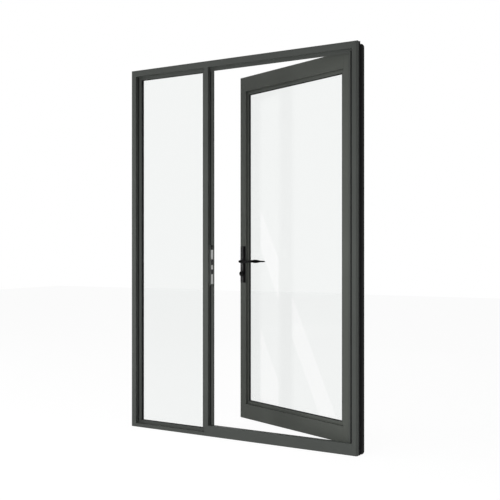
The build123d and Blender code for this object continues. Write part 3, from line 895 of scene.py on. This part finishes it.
class DOORSET_OT_back_plates(bpy.types.Operator):
    """Back plates with collar, cylinder rose and screws, a lighter front slab as painted light, and
    the cylinder
    """
    bl_idname = "doorset.back_plates"
    bl_label = "Back plates"

    def execute(self, context):
        setting = context.scene.doorset_lock
        for name, out in (("near", -1), ("far", 1)):
            self.plate(name, out, setting)
        self.cylinder(setting)
        return {"FINISHED"}

    def plate(self, name, out, setting):
        node = name + "_back_plate"
        low, high = shut_box(node)
        face = high.y if out < 0 else low.y
        thickness = setting.near_plate if out < 0 else setting.far_plate
        outer = face + out * thickness
        centre = (low.x + high.x) / 2
        half = setting.plate_width / 2
        shape = bmesh.new()
        shift, reach = (setting.plate_shift, setting.foot_shift) if out < 0 else (0.0, 0.0)
        left, right = centre - half + shift, centre + half + shift
        block(shape, (left, min(face, outer), low.z), (right, max(face, outer), high.z))
        corners = [e for e in shape.edges if abs(e.verts[0].co.y - e.verts[1].co.y) > 1e-4]
        round_edges(shape, corners, setting.plate_corner, 5)
        round_edges(shape, at_depth(sharp_edges(shape), outer), min(PLATE_EDGE, thickness / 3), 3)
        if reach:
            join(shape, soft_block((low.x + reach, face - FOOT_HEIGHT, low.z),
                                   (high.x + reach, face, high.z), FOOT_EDGE))
        cylinder = setting.spindle_height - setting.cylinder_drop
        rose = setting.near_rose if out < 0 else setting.far_rose
        join(shape, stud(centre, outer, setting.spindle_height, setting.collar_radius,
                         setting.collar_radius * 0.94, COLLAR_HEIGHT, out, COLLAR_EDGE))
        radius = setting.rose_radius if out < 0 else half - 0.001
        join(shape, stud(centre, outer, cylinder, radius, radius * 0.8, rose, out, rose / 3, 48))
        for z in (low.z + PLATE_SCREW, high.z - PLATE_SCREW):
            join(shape, screw(centre, outer, z, setting.screw_radius, out))
        add_piece(shape, node + "_fitting", "leaf", "handle_black", [node], AJAR)
        # Painted light: a thin slab of the same black made lighter lies on the front, so the front
        # reads lit and its rim and sides dark
        under, over = sorted((outer - out * LIT_FACE_SUNK, outer + out * LIT_FACE_PROUD))
        lit_face = soft_block((left + LIT_FACE_RIM, under, low.z + LIT_FACE_RIM),
                           (right - LIT_FACE_RIM, over, high.z - LIT_FACE_RIM), LIT_FACE_EDGE)
        add_piece(lit_face, node + "_lit_face", "leaf", "handle_black", (), AJAR, "plate_face_painted_light")

    def cylinder(self, setting):
        low, high = shut_box("lock_cylinder")
        centre = (low.x + high.x) / 2
        z = (low.z + high.z) / 2
        radius = (high.x - low.x) / 2
        proud = CYLINDER_PROUD
        near = shut_box("near_back_plate")[1].y - setting.near_plate - setting.near_rose - proud
        far = shut_box("far_back_plate")[0].y + setting.far_plate + setting.far_rose + proud
        middle = (near + far) / 2
        shape = bmesh.new()
        slits = bmesh.new()
        for out, end in ((-1, near), (1, far)):
            half = stud(centre, middle, z, radius, radius, abs(end - middle), out, CYLINDER_EDGE)
            cap = at_depth(half.faces, end)
            bmesh.ops.inset_region(half, faces=cap, thickness=radius * 0.3, depth=0.0)
            bmesh.ops.inset_region(half, faces=cap, thickness=radius * 0.03, depth=-PLUG_STEP)
            join(shape, half)
            inner, slit = Vector((centre, end - out * PLUG_STEP, z)), Vector(KEYWAY)
            join(slits, soft_block(inner - slit, inner + slit, PLAY))
        add_piece(shape, "lock_cylinder_body", "leaf", "lock_steel", ["lock_cylinder"], AJAR,
                  "cylinder_black")
        add_piece(slits, "lock_cylinder_keyways", "leaf", "core_plastic", (), AJAR)


class DOORSET_OT_levers(bpy.types.Operator):
    """Levers with a round neck, a bend and a tapering grip"""
    bl_idname = "doorset.levers"
    bl_label = "Levers"

    def execute(self, context):
        setting = context.scene.doorset_lock
        for name, out in (("near", -1), ("far", 1)):
            node = name + "_lever"
            low, high = shut_box(node)
            end = low.y - setting.near_rise if out < 0 else high.y - setting.far_trim
            plate = shut_box(name + "_back_plate")
            start = plate[1].y if out < 0 else plate[0].y
            x = sum(corner.x for corner in shut_box("lock_cylinder")) / 2
            shape = self.lever(x, start, end, high.x - setting.grip_trim, out, setting)
            bmesh.ops.translate(shape, verts=shape.verts[:], vec=(0.0, 0.0, -setting.droop))
            add_piece(shape, node + "_grip", "lever_set", "handle_black", [node], AJAR,
                      "lever_black")
        return {"FINISHED"}

    def lever(self, x, start, end, tip, out, setting):
        """Neck out of the plate, bend toward the hinges, grip drawn out ring by ring to its tip."""
        radius, bend = setting.neck_radius, setting.bend
        thick, high = setting.grip_root
        tip_thick, tip_high = setting.grip_tip
        z = setting.spindle_height
        turn = end - out * (thick / 2 + bend)
        shape = bmesh.new()
        place = Matrix.Translation((x, start, z)) @ Matrix.Rotation(math.pi / 2, 4, "X")
        bmesh.ops.create_circle(shape, cap_ends=True, segments=32, radius=radius, matrix=place)
        rim = self.extrude(shape, shape.edges[:], (0.0, turn - start, 0.0))
        bent = bmesh.ops.spin(shape, geom=rim + [v for v in {v for e in rim for v in e.verts}],
                              cent=(x + bend, turn, z), axis=(0.0, 0.0, -out), angle=math.pi / 2,
                              steps=10, use_merge=False, use_duplicate=False)
        rim = edges_of(bent["geom_last"])
        run = tip - tip_high / 2 - x - bend
        middle = Vector((x + bend, end - out * thick / 2, z))
        size = [2 * radius, 2 * radius]
        stations = [(0.06, thick, high), (0.35, thick * 0.93, high * 0.92),
                    (0.7, tip_thick * 1.15, tip_high * 1.2), (1.0, tip_thick, tip_high)]
        cap = [(0.5, 0.9), (0.8, 0.66), (0.97, 0.3)]
        place = 0.0
        for share, new_thick, new_high in stations:
            rim = self.extrude(shape, rim, (run * share - place, 0.0, 0.0))
            place = run * share
            size = self.resize(shape, rim, middle, size, (new_thick, new_high))
        for share, scale in cap:
            rim = self.extrude(shape, rim, (run + share * tip_high / 2 - place, 0.0, 0.0))
            place = run + share * tip_high / 2
            size = self.resize(shape, rim, middle, size, (tip_thick * scale, tip_high * scale))
        bmesh.ops.edgenet_fill(shape, edges=rim)
        for face in shape.faces:
            face.smooth = len(face.verts) == 4
        return shape

    def extrude(self, shape, rim, step):
        grown = bmesh.ops.extrude_edge_only(shape, edges=rim)["geom"]
        bmesh.ops.translate(shape, verts=verts_of(grown), vec=step)
        return edges_of(grown)

    def resize(self, shape, rim, middle, old, new):
        verts = list({v for e in rim for v in e.verts})
        shift = Matrix.Translation(-middle)
        share = (1.0, new[0] / old[0], new[1] / old[1])
        bmesh.ops.scale(shape, verts=verts, vec=share, space=shift)
        return new


class DOORSET_OT_lock(bpy.types.Operator):
    """Face plate with latch, bolt and screws, and the strike plate"""
    bl_idname = "doorset.lock"
    bl_label = "Lock"

    def execute(self, context):
        setting = context.scene.doorset_lock
        low, high = shut_box("lock_face_plate")
        shape = soft_block(low, high, FACE_EDGE)
        middle = (low.y + high.y) / 2
        z = (low.z + high.z) / 2
        for drop, tall in LATCH_AND_BOLT:
            join(shape, soft_block((low.x - LATCH_PROUD, middle - LATCH_HALF, z - drop - tall / 2),
                                   (low.x + LATCH_SUNK, middle + LATCH_HALF, z - drop + tall / 2),
                                   SMALL_EDGE))
        lay = Matrix.Translation((low.x, middle, 0.0)) @ Matrix.Rotation(-math.pi / 2, 4, "Z")
        for height in (low.z + FACE_SCREW, high.z - FACE_SCREW):
            head = screw(0.0, 0.0, height, setting.screw_radius, -1)
            head.transform(lay)
            join(shape, head)
        add_piece(shape, "lock_face_plate_fitting", "leaf", "lock_steel", ["lock_face_plate"], AJAR)
        add_piece(softened("strike_plate", SMALL_EDGE), "strike_plate_fitting", "frame",
                  "lock_steel", ["strike_plate"])
        self.liners()
        return {"FINISHED"}

    def liners(self):
        """Dark pockets in the strike plate, and a dark sheet of painted shade in the rebate before
        it.
        """
        low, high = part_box("strike_plate")
        middle = (low + high) / 2
        shape = bmesh.new()
        for drop, tall in LATCH_AND_BOLT:
            z, half = middle.z - drop, tall / 2 + POCKET_MARGIN
            join(shape, soft_block((low.x + POCKET_SUNK, middle.y - POCKET_HALF, z - half),
                                   (high.x + POCKET_PROUD, middle.y + POCKET_HALF, z + half),
                                   PANE_EDGE))
        # Painted shade: a thin dark sheet on the rebate before the strike plate
        join(shape, soft_block((low.x - SHADE_LINING_SUNK, low.y - SHADE_LINING_DEPTH, low.z),
                               (low.x + SHADE_LINING_PROUD, low.y - SHADE_LINING_SUNK, high.z), SHADE_LINING_EDGE))
        add_piece(shape, "strike_pockets_and_shade_lining", "frame", "core_plastic")


class DOORSET_OT_hinges(bpy.types.Operator):
    """Hinge parts with rounded rims, and a cap on each end of the barrels"""
    bl_idname = "doorset.hinges"
    bl_label = "Hinges"

    def execute(self, context):
        setting = context.scene.doorset_lock
        for node, slot in SLOTS.items():
            if slot == "hinge_metal":
                shape = softened(node, SMALL_EDGE)
                if node.endswith("jamb_part"):
                    self.caps(shape, node, setting)
                add_piece(shape, node + "_fitting", body_of(node), slot, [node])
        return {"FINISHED"}

    def caps(self, shape, node, setting):
        low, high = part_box(node)
        x, y, _ = HINGE["pos_m"]
        for z, up in ((low.z, -1), (high.z, 1)):
            cap = stud(0.0, 0.0, 0.0, setting.knuckle_radius * 0.98, setting.knuckle_radius * 0.7,
                       setting.cap_height, 1, 0.001)
            cap.transform(Matrix.Translation((x, y, z)) @ Matrix.Rotation(up * math.pi / 2, 4, "X"))
            join(shape, cap)


class DOORSET_PT_panel(bpy.types.Panel):
    """Lists the steps and the settings of the door set"""
    bl_idname = "DOORSET_PT_panel"
    bl_label = "Door set"
    bl_space_type = "VIEW_3D"
    bl_region_type = "UI"
    bl_category = "Door set"

    def draw(self, context):
        for operator in OPERATORS:
            self.layout.operator(operator.bl_idname)
        scene = context.scene
        for name, kind in GROUPS.items():
            for value in kind.__annotations__:
                self.layout.prop(getattr(scene, name), value)


OPERATORS = [DOORSET_OT_stage, DOORSET_OT_finishes, DOORSET_OT_profiles, DOORSET_OT_glazing,
             DOORSET_OT_seals, DOORSET_OT_back_plates, DOORSET_OT_levers, DOORSET_OT_lock,
             DOORSET_OT_hinges]
GROUPS = {"doorset_finish": FinishSettings, "doorset_section": SectionSettings,
          "doorset_lock": LockSettings, "doorset_stage": StageSettings}
CLASSES = [*GROUPS.values(), *OPERATORS, DOORSET_PT_panel]


def register():
    for item in CLASSES:
        bpy.utils.register_class(item)
    for name, group in GROUPS.items():
        setattr(bpy.types.Scene, name, bpy.props.PointerProperty(type=group))


def unregister():
    for name in GROUPS:
        delattr(bpy.types.Scene, name)
    for item in reversed(CLASSES):
        bpy.utils.unregister_class(item)


def main():
    register()
    bpy.ops.doorset.stage()
    bpy.ops.doorset.finishes()
    bpy.ops.doorset.profiles()
    bpy.ops.doorset.glazing()
    bpy.ops.doorset.seals()
    bpy.ops.doorset.back_plates()
    bpy.ops.doorset.levers()
    bpy.ops.doorset.lock()
    bpy.ops.doorset.hinges()


if __name__ == "__main__":
    main()
